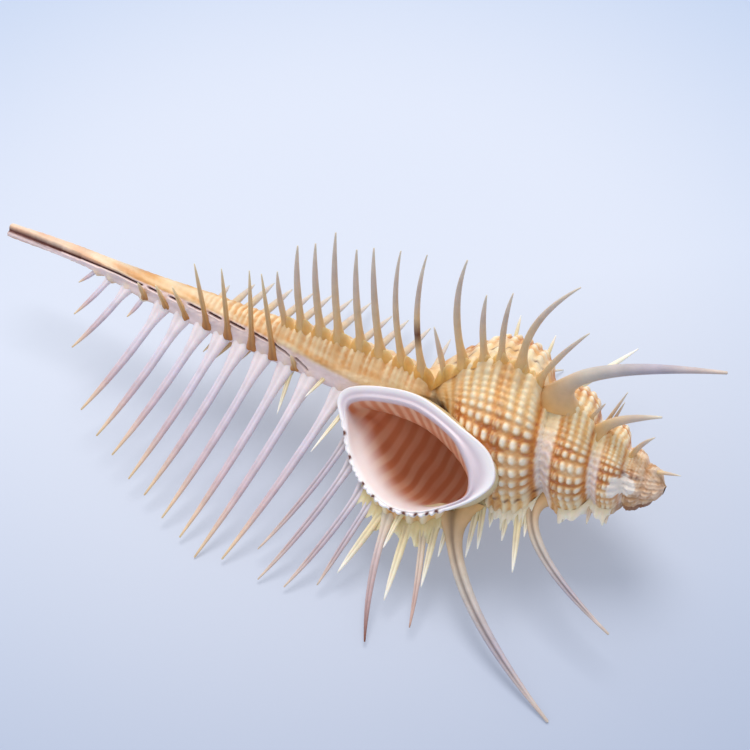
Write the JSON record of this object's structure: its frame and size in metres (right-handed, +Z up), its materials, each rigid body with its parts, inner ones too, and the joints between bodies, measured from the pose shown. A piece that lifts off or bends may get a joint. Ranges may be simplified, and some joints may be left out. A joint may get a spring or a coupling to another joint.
{
  "type": "venus comb murex shell",
  "caption": "Sea shell of a venus comb murex: a short spire, an oval aperture with a raised rim, a long straight canal with a slit, and combs of long thin spines.",
  "frame": {"origin": "centre of the bounding box in plan, on the surface that the shell rests on", "axes": "+X runs along the shell from the tip of its canal to the worn apex, +Z is up as the shell rests on its spines, and the aperture opens toward -Y and +Z"},
  "size_m": [0.1354, 0.0706, 0.0573],
  "materials": {
    "shell": "hard, slightly glossy natural shell, cream with orange-brown markings"
  },
  "bodies": {
    "root": {"shell": "shell"}
  },
  "joints": []
}
